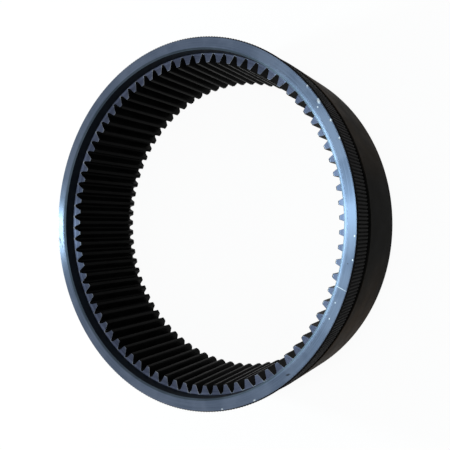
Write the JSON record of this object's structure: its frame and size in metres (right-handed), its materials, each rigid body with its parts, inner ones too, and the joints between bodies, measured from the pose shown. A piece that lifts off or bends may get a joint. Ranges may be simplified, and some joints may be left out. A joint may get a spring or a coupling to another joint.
{
  "type": "internal ring gear",
  "caption": "One-piece steel ring gear with straight internal teeth, a recessed front face, a fine outer spline, a relief groove and a plain locating band.",
  "frame": {"origin": "centre of the rear face, on the ring's axis, at the height of the surface that the ring lies on", "axes": "+Z along the ring's axis, from the plain rear face to the recessed front face; +X through the middle of one internal tooth"},
  "size_m": [0.3599, 0.36, 0.101],
  "materials": {
    "steel": "front face turned bright, blue-grey; teeth, spline and outer band left dark from heat treatment with a little brown rust"
  },
  "bodies": {
    "root": {"ring_gear": "steel"}
  },
  "joints": []
}
